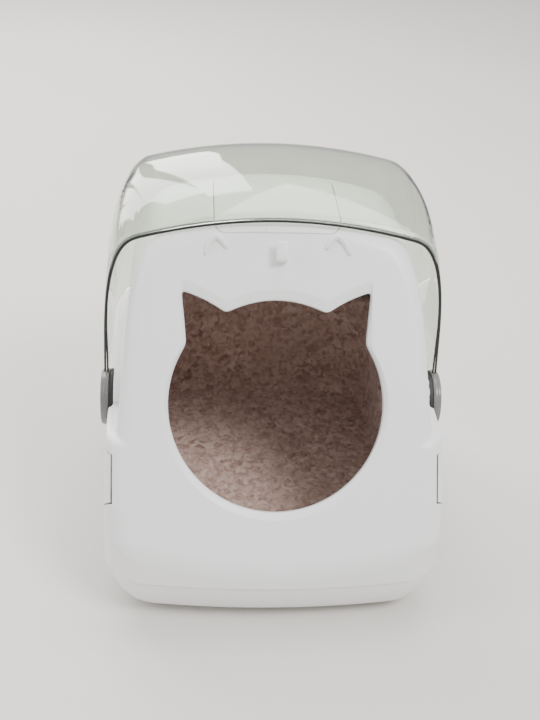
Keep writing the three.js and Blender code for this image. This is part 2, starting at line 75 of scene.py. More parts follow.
# White ABS from a fine-eroded mould: near-neutral white, a soft broad sheen and a faint grain.
# The grain is 0.9 mm, coarser than the real 0.2 mm, so that it shows at all.
def whiteMouldedAbs(name, tone, warm, roughness=0.38):
    material, tree, output, place = newMaterial(name)
    cloud = addNode(tree, "ShaderNodeTexNoise", {"Scale": 9.0, "Detail": 3.0}, {"Vector": place})
    tint = addNode(tree, "ShaderNodeMix", {"data_type": "RGBA", 6: linear(tone), 7: linear(warm)},
                   {0: cloud.outputs["Fac"]})
    grain = addNode(tree, "ShaderNodeTexNoise", {"Scale": 1100.0, "Detail": 2.0}, {"Vector": place})
    gloss = addNode(tree, "ShaderNodeMapRange",
                    {"To Min": roughness - 0.04, "To Max": roughness + 0.06},
                    {"Value": grain.outputs["Fac"]})
    bump = addNode(tree, "ShaderNodeBump", {"Strength": 0.06, "Distance": 0.0003},
                   {"Height": grain.outputs["Fac"]})
    shader = addNode(tree, "ShaderNodeBsdfPrincipled", {"IOR": 1.53, "Subsurface Weight": 0.0},
                     {"Base Color": tint.outputs[2], "Roughness": gloss.outputs["Result"],
                      "Normal": bump.outputs["Normal"]})
    tree.links.new(shader.outputs["BSDF"], output.inputs["Surface"])
    return material


# Smoke-tinted polystyrene, polished: clear with a faint grey-green cast and sharp window reflections.
# It lets the lamps' light through, so that the white roof under it stays bright.
def smokyClear(name, tint, deep, roughness=0.015):
    material, tree, output, place = newMaterial(name)
    haze = addNode(tree, "ShaderNodeTexNoise", {"Scale": 14.0, "Detail": 2.0}, {"Vector": place})
    colour = addNode(tree, "ShaderNodeMix", {"data_type": "RGBA", 6: linear(tint), 7: linear(deep)},
                     {0: haze.outputs["Fac"]})
    gloss = addNode(tree, "ShaderNodeMapRange", {"To Min": roughness, "To Max": roughness + 0.02},
                    {"Value": haze.outputs["Fac"]})
    shader = addNode(tree, "ShaderNodeBsdfPrincipled", {"IOR": 1.50, "Transmission Weight": 1.0},
                     {"Base Color": colour.outputs[2], "Roughness": gloss.outputs["Result"]})
    through = addNode(tree, "ShaderNodeBsdfTransparent", None, {"Color": colour.outputs[2]})
    lampRay = addNode(tree, "ShaderNodeLightPath").outputs["Is Shadow Ray"]
    mixed = addNode(tree, "ShaderNodeMixShader", None,
                    {0: lampRay, 1: shader.outputs["BSDF"], 2: through.outputs["BSDF"]})
    tree.links.new(mixed.outputs["Shader"], output.inputs["Surface"])
    return material


# Black soft-touch rubber or dark nylon: almost no gloss, a little dust-grey in the grain.
def blackRubber(name, tone="1b1b1a", dust="2b2b2a"):
    material, tree, output, place = newMaterial(name)
    grain = addNode(tree, "ShaderNodeTexNoise", {"Scale": 700.0, "Detail": 3.0}, {"Vector": place})
    colour = addNode(tree, "ShaderNodeMix", {"data_type": "RGBA", 6: linear(tone), 7: linear(dust)},
                     {0: grain.outputs["Fac"]})
    gloss = addNode(tree, "ShaderNodeMapRange", {"To Min": 0.5, "To Max": 0.7},
                    {"Value": grain.outputs["Fac"]})
    bump = addNode(tree, "ShaderNodeBump", {"Strength": 0.15, "Distance": 0.0003},
                   {"Height": grain.outputs["Fac"]})
    shader = addNode(tree, "ShaderNodeBsdfPrincipled", {"IOR": 1.52},
                     {"Base Color": colour.outputs[2], "Roughness": gloss.outputs["Result"],
                      "Normal": bump.outputs["Normal"]})
    tree.links.new(shader.outputs["BSDF"], output.inputs["Surface"])
    return material


# Grey gloss ABS on the pivot caps: smooth, mid grey, catches one clean highlight.
def greyGlossAbs(name):
    material, tree, output, place = newMaterial(name)
    cloud = addNode(tree, "ShaderNodeTexNoise", {"Scale": 60.0, "Detail": 2.0}, {"Vector": place})
    colour = addNode(tree, "ShaderNodeMix", {"data_type": "RGBA", 6: linear("6e6c6a"), 7: linear("767472")},
                     {0: cloud.outputs["Fac"]})
    gloss = addNode(tree, "ShaderNodeMapRange", {"To Min": 0.24, "To Max": 0.3},
                    {"Value": cloud.outputs["Fac"]})
    shader = addNode(tree, "ShaderNodeBsdfPrincipled", {"IOR": 1.53},
                     {"Base Color": colour.outputs[2], "Roughness": gloss.outputs["Result"]})
    tree.links.new(shader.outputs["BSDF"], output.inputs["Surface"])
    return material


# Zinc-plated turned steel on screws and pins: fine rings round the axis.
def turnedSteel(name):
    material, tree, output, place = newMaterial(name)
    rings = addNode(tree, "ShaderNodeTexNoise", {"Scale": 500.0, "Detail": 1.0}, {"Vector": place})
    colour = addNode(tree, "ShaderNodeMix", {"data_type": "RGBA", 6: linear("b9bcc0"), 7: linear("cfd1d4")},
                     {0: rings.outputs["Fac"]})
    gloss = addNode(tree, "ShaderNodeMapRange", {"To Min": 0.25, "To Max": 0.4},
                    {"Value": rings.outputs["Fac"]})
    shader = addNode(tree, "ShaderNodeBsdfPrincipled", {"Metallic": 1.0},
                     {"Base Color": colour.outputs[2], "Roughness": gloss.outputs["Result"]})
    tree.links.new(shader.outputs["BSDF"], output.inputs["Surface"])
    return material


# Curly polyester fleece: mauve-brown tufts about 7 mm across, with painted shade darkening the roots and
# painted light paling the tips.
def curlyFleece(name):
    material, tree, output, place = newMaterial(name)
    curl = addNode(tree, "ShaderNodeTexNoise", {"Scale": 95.0, "Detail": 1.6, "Distortion": 1.1},
                   {"Vector": place})
    patch = addNode(tree, "ShaderNodeTexNoise", {"Scale": 22.0, "Detail": 3.0}, {"Vector": place})
    hair = addNode(tree, "ShaderNodeTexNoise", {"Scale": 900.0, "Detail": 3.0}, {"Vector": place})
    # The ramp follows the bump's height: painted shade where the curls are low (the roots), painted light
    # where they are high (the tips). The mottle below is the fleece's own uneven tone.
    ramp = addNode(tree, "ShaderNodeValToRGB", None, {"Fac": curl.outputs["Fac"]})
    stops = [(0.28, "8e6f63"), (0.42, "b39284"), (0.56, "cfb2a5"), (0.72, "e0c8bc")]
    for element, (position, colour) in zip(ramp.color_ramp.elements, (stops[0], stops[-1])):
        element.position, element.color = position, linear(colour)
    for position, colour in stops[1:-1]:
        ramp.color_ramp.elements.new(position).color = linear(colour)
    mottle = addNode(tree, "ShaderNodeMapRange", {"From Min": 0.3, "From Max": 0.7, "To Max": 0.5},
                     {"Value": patch.outputs["Fac"]})
    colour = addNode(tree, "ShaderNodeMix", {"data_type": "RGBA", 7: linear("b49486")},
                     {0: mottle.outputs["Result"], 6: ramp.outputs["Color"]})
    height = addNode(tree, "ShaderNodeMath", {"operation": "MULTIPLY_ADD", 1: 0.35},
                     {0: hair.outputs["Fac"], 2: curl.outputs["Fac"]})
    bump = addNode(tree, "ShaderNodeBump", {"Strength": 0.8, "Distance": 0.002},
                   {"Height": height.outputs[0]})
    shader = addNode(tree, "ShaderNodeBsdfPrincipled",
                     {"IOR": 1.5, "Roughness": 0.95, "Sheen Weight": 0.35, "Sheen Roughness": 0.6},
                     {"Base Color": colour.outputs[2], "Normal": bump.outputs["Normal"]})
    tree.links.new(shader.outputs["BSDF"], output.inputs["Surface"])
    return material


shellWhite = whiteMouldedAbs("white_moulded_abs", "eeeeee", "eae9e8")
trayWhite = whiteMouldedAbs("white_tray_polypropylene", "ededed", "e8e7e5", 0.42)
hoodSmoke = smokyClear("smoky_clear_polystyrene", "e0e4dc", "d8ddd4")
# Painted shade and painted refraction: these two near-black finishes colour the clear hood rim's edge, which
# is clear plastic that only looks dark edge-on.
rimPaintedShade = blackRubber("painted_rim_shade_black", "0b0c0b", "161716")
rimPaintedRefraction = blackRubber("painted_rim_refraction_grey_green", "5a5f58", "6a6f68")
capGrey = greyGlossAbs("grey_gloss_abs")
washerBlack = blackRubber("black_nylon_washer")
footRubber = blackRubber("black_rubber_foot")
screwSteel = turnedSteel("zinc_plated_steel")
fleece = curlyFleece("curly_polyester_fleece")
print("materials ready")

# ---- mesh helpers; they take millimetres and hand the mesh over in the frame ----


def makePiece(name, points, faces, material, smoothAngle=35):
    mesh = bpy.data.meshes.new(name)
    placed = (np.asarray(points, float) + (0, shiftY, 0)) * mm
    mesh.from_pydata(placed.tolist(), [], [list(map(int, f)) for f in faces])
    mesh.validate()
    mesh.update()
    piece = bpy.data.objects.new(name, mesh)
    bpy.context.scene.collection.objects.link(piece)
    piece.data.materials.append(material)
    fixNormals(piece)
    shadeByAngle(piece, smoothAngle)
    return piece


def fixNormals(piece):
    bm = bmesh.new()
    bm.from_mesh(piece.data)
    bmesh.ops.recalc_face_normals(bm, faces=bm.faces)
    if bm.calc_volume(signed=True) < 0:
        bmesh.ops.reverse_faces(bm, faces=bm.faces)
    bm.to_mesh(piece.data)
    bm.free()


def shadeByAngle(piece, angle):
    piece.data.polygons.foreach_set("use_smooth", [True] * len(piece.data.polygons))
    piece.data.set_sharp_from_angle(angle=math.radians(angle))


def applied(piece):
    graph = bpy.context.evaluated_depsgraph_get()
    mesh = bpy.data.meshes.new_from_object(piece.evaluated_get(graph), depsgraph=graph)
    piece.modifiers.clear()
    piece.data = mesh
    return piece


def copyOf(piece, name):
    other = piece.copy()
    other.data = piece.data.copy()
    other.name = name
    bpy.context.scene.collection.objects.link(other)
    return other


def drop(*objects):
    for o in objects:
        bpy.data.objects.remove(o)


def carve(piece, tool, how="DIFFERENCE"):
    change = piece.modifiers.new("carve", "BOOLEAN")
    change.object = tool
    change.operation = how
    change.solver = "MANIFOLD"
    return applied(piece)


# Boolean cuts can leave slivers thinner than 0.02 mm; they are closed up.
def closeSlivers(piece):
    bm = bmesh.new()
    bm.from_mesh(piece.data)
    bmesh.ops.remove_doubles(bm, verts=bm.verts, dist=0.02 * mm)
    bmesh.ops.dissolve_degenerate(bm, edges=bm.edges, dist=0.01 * mm)
    bm.to_mesh(piece.data)
    bm.free()


def ride(piece, body, slot, *nodes):
    closeSlivers(piece)
    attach(piece, body)
    if nodes:
        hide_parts(*nodes)


# Skins a stack of closed loops. Unless the stack closes on itself, its ends get a fan, or one flat face.
def skin(loops, ring=False, flatEnds=False):
    count = len(loops[0])
    points = [tuple(p) for loop in loops for p in loop]
    rows = len(loops) if ring else len(loops) - 1
    faces = []
    for k in range(rows):
        a, b = k * count, ((k + 1) % len(loops)) * count
        faces += [(a + i, a + (i + 1) % count, b + (i + 1) % count, b + i) for i in range(count)]
    if ring:
        return points, faces
    for start in (0, (len(loops) - 1) * count):
        if flatEnds:
            faces.append(tuple(range(start, start + count)))
        else:
            points.append(tuple(np.mean(points[start:start + count], axis=0)))
            faces += [(start + i, start + (i + 1) % count, len(points) - 1) for i in range(count)]
    return points, faces


# Extrudes a flat outline; place(a, b, depth) says where a point goes.
def prism(name, outline, depths, place, flatEnds=False):
    loops = [[place(a, b, d) for a, b in outline] for d in depths]
    return makePiece(name, *skin(loops, flatEnds=flatEnds), shellWhite)


def turned(name, profile, centreX, y, z, material, side=1, steps=72):
    loops = []
    for along, radius in profile:
        angles = np.linspace(0, 2 * math.pi, steps, endpoint=False)
        x = side * (centreX + along)
        loops.append([(x, y + radius * math.cos(a), z + radius * math.sin(a)) for a in angles])
    return makePiece(name, *skin(loops), material)


def rounded(corners, radius, steps=6):
    outline = []
    count = len(corners)
    for i, corner in enumerate(corners):
        here = np.array(corner, float)
        before = np.array(corners[i - 1], float) - here
        after = np.array(corners[(i + 1) % count], float) - here
        reach = radius[i] if isinstance(radius, (list, tuple)) else radius
        reach = min(reach, np.linalg.norm(before) * 0.49, np.linalg.norm(after) * 0.49)
        start = here + before / np.linalg.norm(before) * reach
        end = here + after / np.linalg.norm(after) * reach
        for t in np.linspace(0, 1, steps):
            outline.append(tuple((1 - t) ** 2 * start + 2 * t * (1 - t) * here + t ** 2 * end))
    return outline

# ---- the shell's form: walls, edges and recesses as distances, then a mesh laid on them ----

shellForm = {
    "halfWidth": 196.5, "lean": 0.022, "front": -11.0, "rear": 477.0, "seamZ": 62.0, "ledgeZ": 212.0,
    "rearCorner": 110.0, "skirtCorner": 46.0, "faceCorner": 22.0, "skirtCrease": 7.0,
    "upperHalf": 180.0, "upperLean": 0.085, "upperRear": 450.0, "upperCorner": 100.0,
    "roofZ": 430.0, "roofCrown": 22.0, "roofRoll": 165.0, "shoulder": 42.0, "faceRound": 18.0,
    "wall": 3.0, "ledgeEdge": 4.0, "ledgeFillet": 5.0,
}
faceTilt = math.radians(32)
faceFootZ = 105.0
pivot = {"y": 178.0, "z": 200.0, "recessRadius": 37.5, "recessX": 187.4, "bossRadius": 40.5,
         "capX": 196.95, "capRadius": 33.0, "capOuterX": 203.5, "washerRadius": 34.0,
         "washerX": 187.75, "washerOuterX": 193.05}


def roundMax(a, b, r):
    return np.minimum(-r, np.maximum(a, b)) + np.hypot(np.maximum(r + a, 0), np.maximum(r + b, 0))


def roundMin(a, b, r):
    return -roundMax(-a, -b, r)


def faceDistance(y, z):
    return ((z - faceFootZ) * math.tan(faceTilt) - y) * math.cos(faceTilt)


def lowerField(x, y, z, bottomZ):
    s = shellForm
    lean = s["lean"] * np.maximum(0, z - s["seamZ"])
    plan = roundMax(np.abs(x) - s["halfWidth"] + lean, y - s["rear"] + lean, s["rearCorner"])
    skirt = s["front"] + 12 * (x / 160) ** 2 - y
    front = roundMax(skirt, faceDistance(y, z), s["skirtCrease"])
    corner = np.interp(z, [90, 150], [s["skirtCorner"], s["faceCorner"]])
    body = roundMax(plan, front, corner)
    body = roundMax(body, z - s["ledgeZ"], s["ledgeEdge"])
    return roundMax(body, bottomZ - z, 0.6)


def upperField(x, y, z):
    s = shellForm
    side = np.abs(x) - s["upperHalf"] + s["upperLean"] * (z - s["ledgeZ"])
    roof = z - s["roofZ"] + s["roofCrown"] * (x / 138) ** 2
    back = roundMax(roof, y - s["upperRear"], s["roofRoll"])
    corner = np.interp(z, [290, 400], [s["upperCorner"], s["shoulder"]])
    return roundMax(roundMax(roundMax(side, back, corner), faceDistance(y, z), s["faceRound"]), 150 - z, 2)


def recessField(x, y, z, grow=0.0):
    around = np.hypot(y - pivot["y"], z - pivot["z"]) - pivot["recessRadius"] - grow
    return roundMax(around, pivot["recessX"] - grow - np.abs(x), 1.2)


# The fillet over the ledge dies away towards the face, which both bodies share.
def bodyField(x, y, z, bottomZ=62.0):
    lower, upper = lowerField(x, y, z, bottomZ), upperField(x, y, z)
    soft = shellForm["ledgeFillet"] * np.clip((-faceDistance(y, z) - 6) / 14, 0, 1)
    return np.where(soft < 0.05, np.minimum(lower, upper), roundMin(lower, upper, np.maximum(soft, 0.05)))


def bossField(x, y, z):
    around = np.hypot(y - pivot["y"], z - pivot["z"]) - pivot["bossRadius"]
    return roundMax(around, np.abs(x) - pivot["recessX"], 1.2)


def outerField(x, y, z):
    return roundMax(roundMin(bodyField(x, y, z), bossField(x, y, z), 1.5), -recessField(x, y, z), 1.5)


def hollowField(x, y, z):
    return bodyField(x, y, z, 30.0) + shellForm["wall"]


def slopeOf(field, p, step=0.05):
    parts = []
    for axis in np.eye(3) * step:
        parts.append((field(*(p + axis).T) - field(*(p - axis).T)) / (2 * step))
    return np.stack(parts, axis=1)


# Lays a quad net on a form: one point in each grid cell that the surface crosses, pulled onto the surface.
def netOver(field, low, high, step):
    axes = [np.arange(low[i], high[i] + step, step) for i in range(3)]
    values = field(*np.meshgrid(*axes, indexing="ij"))
    inside = values < 0
    size = tuple(n - 1 for n in values.shape)
    total, hits = np.zeros(size + (3,)), np.zeros(size)
    corners = [(i, j, k) for i in (0, 1) for j in (0, 1) for k in (0, 1)]

    def window(grid, c):
        return grid[c[0]:c[0] + size[0], c[1]:c[1] + size[1], c[2]:c[2] + size[2]]

    for a in corners:
        for axis in range(3):
            if a[axis]:
                continue
            b = tuple(1 if i == axis else a[i] for i in range(3))
            va, vb = window(values, a), window(values, b)
            crossed = window(inside, a) != window(inside, b)
            share = np.where(crossed, va / np.where(va == vb, 1, va - vb), 0)
            for i in range(3):
                total[..., i] += np.where(crossed, a[i] + (share if i == axis else 0), 0)
            hits += crossed
    used = hits > 0
    index = np.full(size, -1)
    index[used] = np.arange(used.sum())
    cells = np.argwhere(used)
    points = np.array(low) + (cells + total[used] / hits[used][:, None]) * step
    for _ in range(4):
        value, slope = field(*points.T), slopeOf(field, points)
        move = (value / np.maximum((slope ** 2).sum(1), 0.2))[:, None] * slope
        points -= np.clip(move, -step * 0.6, step * 0.6)
    faces = []
    for axis in range(3):
        u, v = [i for i in range(3) if i != axis]
        first = [slice(1, n - 1) for n in values.shape]
        first[axis] = slice(0, values.shape[axis] - 1)
        second = list(first)
        second[axis] = slice(1, values.shape[axis])
        at = np.argwhere(inside[tuple(first)] != inside[tuple(second)])
        offset = np.array([0 if i == axis else 1 for i in range(3)])
        base = at + offset
        ring = []
        for du, dv in ((0, 0), (-1, 0), (-1, -1), (0, -1)):
            cell = base.copy()
            cell[:, u] += du
            cell[:, v] += dv
            ring.append(index[tuple(cell.T)])
        faces.append(np.stack(ring, axis=1))
    return points, np.concatenate(faces)


outer = makePiece("shellOuter", *netOver(outerField, (-202, -18, 56), (202, 484, 438), 3.0), shellWhite)
hollow = makePiece("shellHollow", *netOver(hollowField, (-202, -18, 22), (202, 484, 438), 4.0), shellWhite)
print("shell form laid:", len(outer.data.polygons), "faces")

# ---- outlines on the face: a across, b up the face ----


def onFace(a, b, depth):
    return (a, b * math.sin(faceTilt) - depth * math.cos(faceTilt),
            faceFootZ + b * math.cos(faceTilt) + depth * math.sin(faceTilt))


def fromSide(y, z, depth):
    return (depth, y, z)


def fromTop(x, y, depth):
    return (x, y, depth)


def bend(start, control, end, steps):
    t = np.linspace(0, 1, steps, endpoint=False)[:, None]
    start, control, end = np.array(start), np.array(control), np.array(end)
    return ((1 - t) ** 2 * start + 2 * t * (1 - t) * control + t ** 2 * end).tolist()


entrance = {
    "radius": 122.5, "centre": 170.0, "join": math.atan2(67, 102), "tip": (108.0, 298.0),
    "notch": (57.5, 273.5), "arch": 302.5, "earSide": (104.0, 262.0), "earTop": (82.0, 291.0), "depth": 3.6,
    "inward": 9.0,
}
dish = dict(entrance, radius=127.0, centre=166.5, join=math.atan2(67.5, 107.6), tip=(108.4, 311.0),
            notch=(58.0, 286.0), arch=313.0, earSide=(107.6, 270.0), earTop=(84.0, 303.0))


# The cat's-head outline with softened ear tips and notches.
# Both outlines get the same number of points, so that they can be skinned together.
def catHead(e):
    right = []
    joinX, joinU = e["radius"] * math.cos(e["join"]), e["centre"] + e["radius"] * math.sin(e["join"])
    for a in np.linspace(-math.pi / 2, e["join"], 60, endpoint=False):
        right.append([e["radius"] * math.cos(a), e["centre"] + e["radius"] * math.sin(a)])
    right += bend((joinX, joinU), e["earSide"], e["tip"], 26)
    right += bend(e["tip"], e["earTop"], e["notch"], 26)
    middle = (0.0, (e["notch"][1] + e["arch"]) / 2)
    right += bend(e["notch"], (e["notch"][0] / 2, middle[1]), middle, 24) + [list(middle)]
    outline = np.array(right + [[-a, b] for a, b in right[-2:0:-1]])
    keepEnds = outline.copy()
    for _ in range(4):
        outline = outline * 0.5 + (np.roll(outline, 1, axis=0) + np.roll(outline, -1, axis=0)) * 0.25
    outline[:, 0] = np.where(np.abs(keepEnds[:, 0]) < 0.01, 0, outline[:, 0])
    return outline


innerOutline, dishOutline = catHead(entrance), catHead(dish)


# Loops run from the flat face down the dished bevel, over a soft edge, in through the wall and back behind.
def entranceLip():
    step = entrance["depth"]
    rows = [(1.35, 0.03), (1.06, 0.03), (1.0, -0.12), (0.94, -0.35), (0.5, -step * 0.55),
            (0.14, -step * 0.96),
            (0.05, -step - 0.35), (0.0, -step - 1.2), (0.0, -step - entrance["inward"]),
            (0.2, -step - entrance["inward"] - 0.6), (0.42, -step - entrance["inward"]), (0.5, -step - 3.0),
            (1.35, -3.4)]
    loops = []
    for share, depth in rows:
        line = innerOutline + (dishOutline - innerOutline) * share
        loops.append([onFace(a, b, depth) for a, b in line])
    return makePiece("entranceLip", *skin(loops, ring=True), shellWhite, 50)


lip = entranceLip()
cutLine = innerOutline + (dishOutline - innerOutline) * 1.2
doorway = prism("doorway", cutLine, (-60, 30), onFace)

# ---- pockets for the side latches ----

latch = {"x": 186.0, "gap": 2.0, "pinX": 189.5, "pinZ": 192.0, "pinRadius": 3.8, "pinFrom": 78, "pinTo": 122,
         "topZ": 197.0, "bottomZ": 112.0, "tipZ": 153.0, "rearY": 128.0, "footY": 74.0, "tipY": 36.0}


def latchOutline(grow):
    top, bottom, tip = latch["topZ"] + grow, latch["bottomZ"] - grow, latch["tipZ"] - grow
    rear, ahead = latch["rearY"] + grow, -40      # ahead lies in front of the whole shell
    return [(ahead, top), (rear, top), (rear, bottom), (latch["footY"] - grow / 2, bottom),
            (latch["tipY"] - grow / 2, tip), (ahead, tip)]


beyondX = 210      # outside every side wall, for cutting through
latchSkins = {}
for side, name in ((1, "right"), (-1, "left")):
    pocketWall = prism("pocketWall", latchOutline(5), (side * 181, side * 205), fromSide)
    seat = turned("seat", [(184.4, 40.5), (205, 40.5)], 0, pivot["y"], pivot["z"], shellWhite, side)
    skinPiece = prism("latchSkin", latchOutline(0), (side * latch["x"], side * beyondX), fromSide)
    carve(skinPiece, outer, "INTERSECT")
    carve(skinPiece, hollow)
    latchSkins[name] = skinPiece
    carve(hollow, pocketWall)
    carve(hollow, seat)
    drop(pocketWall, seat)

carve(outer, hollow)
drop(hollow)
for side in (1, -1):
    floorX = latch["x"] - latch["gap"]
    pocket = prism("pocket", latchOutline(latch["gap"]), (side * floorX, side * beyondX), fromSide)
    carve(outer, pocket)
    drop(pocket)
print("shell hollowed")

# ---- the hatch, the front shell and the rear cover are one surface, parted by thin seams ----

hatch = {"half": 71.0, "frontU": 365.0, "rearY": 322.0, "corner": 14.0, "seam": 1.0, "tickX": -14.0}


def hatchBlock(grow):
    frontY = hatch["frontU"] * math.sin(faceTilt) - grow
    x, rear = hatch["half"] + grow, hatch["rearY"] + grow
    outline = rounded([(-x, frontY), (x, frontY), (x, rear), (-x, rear)], hatch["corner"] + grow, 10)
    return prism("hatchBlock", outline, (395, 460), fromTop)


cover = {"behindFace": 9.0, "lowZ": 216.2, "seam": 0.6}


def coverBlock(gap):
    back = (cover["behindFace"] + gap) / math.cos(faceTilt)
    low, high, rear = cover["lowZ"] + gap, 500, 520
    lowY, highY = ((z - faceFootZ) * math.tan(faceTilt) + back for z in (low, high))
    return prism("coverBlock", [(lowY, low), (rear, low), (rear, high), (highY, high)], (-260, 260), fromSide)


topHatch = copyOf(outer, "topHatch")
for piece, grow, how in ((topHatch, 0.0, "INTERSECT"), (outer, hatch["seam"], "DIFFERENCE")):
    block = hatchBlock(grow)
    carve(piece, block, how)
    drop(block)
tick = prism("tick", [(hatch["tickX"] + a, b) for a, b in ((-1.1, 364), (1.1, 364), (1.1, 373), (-1.1, 373))],
             (-1.6, 3), onFace)
carve(topHatch, tick)
drop(tick)

rearCover = copyOf(outer, "rearCover")
frontShell = outer
frontShell.name = "frontShell"
for piece, gap, how in ((rearCover, cover["seam"], "INTERSECT"), (frontShell, 0.0, "DIFFERENCE")):
    block = coverBlock(gap)
    carve(piece, block, how)
    drop(block)
carve(frontShell, doorway)
drop(doorway)


# A raised cat-ear mark: a ridge that is thick at its point and dies away at both feet.
def earMark(name, footA, apex, footB):
    bulges = [(foot[0] * 0.72 + apex[0] * 0.28, foot[1] * 0.3 + apex[1] * 0.7) for foot in (footA, footB)]
    path = np.array(bend(footA, bulges[0], apex, 12) + bend(apex, bulges[1], footB, 12) + [list(footB)])
    for _ in range(2):
        path[1:-1] = path[1:-1] * 0.5 + (path[2:] + path[:-2]) * 0.25
    loops = []
    for i, point in enumerate(path):
        share = 1 - abs(i / (len(path) - 1) * 2 - 1)
        width, height = 1.9 + 2.3 * share ** 0.6, 1.2 + 4.8 * share ** 0.35
        ahead = path[min(i + 1, len(path) - 1)] - path[max(i - 1, 0)]
        across = np.array([-ahead[1], ahead[0]]) / np.linalg.norm(ahead)
        loop = []
        for a in np.linspace(0, 2 * math.pi, 18, endpoint=False):
            spot = point + across * width * math.cos(a)
            loop.append(onFace(spot[0], spot[1], (height if math.sin(a) > 0 else 0.8) * math.sin(a)))
        loops.append(loop)
    return makePiece(name, *skin(loops), shellWhite, 60)


earMarks = [earMark("earMarkLeft", (-82, 338), (-70, 360), (-57, 345)),
            earMark("earMarkRight", (55, 345), (68, 361), (82, 339))]


def bevelled(piece, width, segments=2, angle=40):
    edge = piece.modifiers.new("softEdge", "BEVEL")
    edge.width, edge.segments, edge.limit_method = width * mm, segments, "ANGLE"
    edge.angle_limit = math.radians(angle)
    applied(piece)
    shadeByAngle(piece, 40)
    return piece


hook = {"x": 4.0, "width": 12.0}
hookSide = rounded([(-0.35, 330), (14, 330), (14, 353), (10.5, 353), (10.5, 338), (4, 338), (4, 346),
                    (-0.35, 346)],
                   [0.2, 4.5, 1.4, 1.4, 1.8, 1.8, 1.6, 0.2], 5)


def outFromFace(out, up, across):
    return onFace(across, up, out)


scoopHook = prism("scoopHook", hookSide, (hook["x"] - hook["width"] / 2, hook["x"] + hook["width"] / 2),
                  outFromFace, flatEnds=True)
bevelled(scoopHook, 0.7)

for piece in (frontShell, rearCover, topHatch):
    shadeByAngle(piece, 38)
ride(frontShell, "housing", "shell_white", "front_shell")
ride(lip, "housing", "shell_white")
for mark in earMarks:
    ride(mark, "housing", "shell_white")
ride(scoopHook, "housing", "shell_white", "scoop_hook")
ride(rearCover, "housing", "shell_white", "rear_cover")
ride(topHatch, "housing", "shell_white", "top_hatch")
print("shell parted into front, cover and hatch")

# ---- side latches on their pins ----


def rodAlongY(name, x, z, radius, y0, y1, material):
    edge = 0.5
    profile = [(y0, radius - edge), (y0 + edge, radius), (y1 - edge, radius), (y1, radius - edge)]
    angles = np.linspace(0, 2 * math.pi, 24, endpoint=False)
    loops = [[(x + r * math.cos(a), y, z + r * math.sin(a)) for a in angles] for y, r in profile]
    return makePiece(name, *skin(loops), material)


for name, piece in latchSkins.items():
    side = 1 if name == "right" else -1
    barrel = rodAlongY("barrel", side * latch["pinX"], latch["pinZ"], latch["pinRadius"], latch["pinFrom"],
                       latch["pinTo"], shellWhite)
    carve(piece, barrel, "UNION")
    drop(barrel)
    piece.name = "sideLatch" + name.capitalize()
    shadeByAngle(piece, 38)
    ride(piece, "latch_" + name, "shell_white", "side_latch_" + name)
print("latches ready")

# ---- hood: rays from the middle of its axis give an even net over a clear moulding ----

hood = {
    "half": 200.5, "lean": 0.025, "bottomZ": 213.0, "rear": 481.0, "crestZ": 456.0, "crestY": 305.0,
    "rimZ": 430.5, "rimTilt": math.radians(4.2), "crown": 24.0, "roll": 156.0, "corner": 112.0,
    "shoulder": 39.0,
    "wall": 2.6, "beadTurns": [8, 16, 26, 33, 39, 50, 90], "beads": [5.6, 5.0, 3.9, 3.6, 4.0, 5.2, 4.5],
    "armRadius": 34.0, "paintedShadeEdge": 2.0, "reach": 245.0,      # reach: about how far the rim is from the axis
}


def hoodField(x, y, z):
    h = hood
    side = np.abs(x) - h["half"] + h["lean"] * (z - h["bottomZ"])
    rimY = pivot["y"] + (h["rimZ"] - pivot["z"]) * math.tan(h["rimTilt"])
    ahead = np.maximum(0, h["crestY"] - y) / (h["crestY"] - rimY)
    top = h["crestZ"] - (h["crestZ"] - h["rimZ"]) * ahead ** 2
    roof = z - top + h["crown"] * (x / 170) ** 2
    back = roundMax(roof, y - h["rear"], h["roll"])
    rearward = np.clip((y - 200) / 150, 0, 1)      # the rear corners tighten higher up than the shoulders
    climb = np.clip((z - 280 - 60 * rearward) / (120 - 20 * rearward), 0, 1)
    return roundMax(side, back, h["corner"] + (h["shoulder"] - h["corner"]) * climb)


# Distance from the middle of the axis to the hood's surface, in the given directions.
def reachTo(field, directions, inset):
    low, high = np.full(len(directions), 20.0), np.full(len(directions), 420.0)
    for _ in range(34):
        middle = (low + high) / 2
        p = directions * middle[:, None] + (0, pivot["y"], pivot["z"])
        inside = field(*p.T) + inset < 0
        low, high = np.where(inside, middle, low), np.where(inside, high, middle)
    return low


def hoodDirection(alpha, phi):
    return np.stack([np.cos(alpha), np.sin(alpha) * np.cos(phi), np.sin(alpha) * np.sin(phi)], axis=1)


def hoodPoints(alpha, phi, inset):
    way = hoodDirection(alpha, phi)
    return way * reachTo(hoodField, way, inset)[:, None] + (0, pivot["y"], pivot["z"])


frontPhi = math.pi / 2 - hood["rimTilt"]
alphas = np.radians(np.concatenate([np.linspace(7.5, 30, 24, endpoint=False),
                                    np.linspace(30, 150, 130, endpoint=False), np.linspace(150, 172.5, 25)]))
backSteps = np.sin(np.linspace(0, math.pi / 2, 80))


# The rim is slimmest where it passes the housing's side when the hood swings forward.
beadInset = np.interp(np.degrees(np.minimum(alphas, math.pi - alphas)), hood["beadTurns"], hood["beads"])


# The hood's lower edge is level, so it starts at a different turn about the axis in each column.
def lowestPhi(alpha):
    phi = np.full(len(alpha), 0.04)
    rise = hood["bottomZ"] - pivot["z"]
    for _ in range(12):
        reach = hoodPoints(alpha, phi, 0.0)
        radial = np.hypot(reach[:, 1] - pivot["y"], reach[:, 2] - pivot["z"])
        phi = np.arcsin(np.clip(rise / radial, 0, math.sin(frontPhi - 0.25)))
    return phi


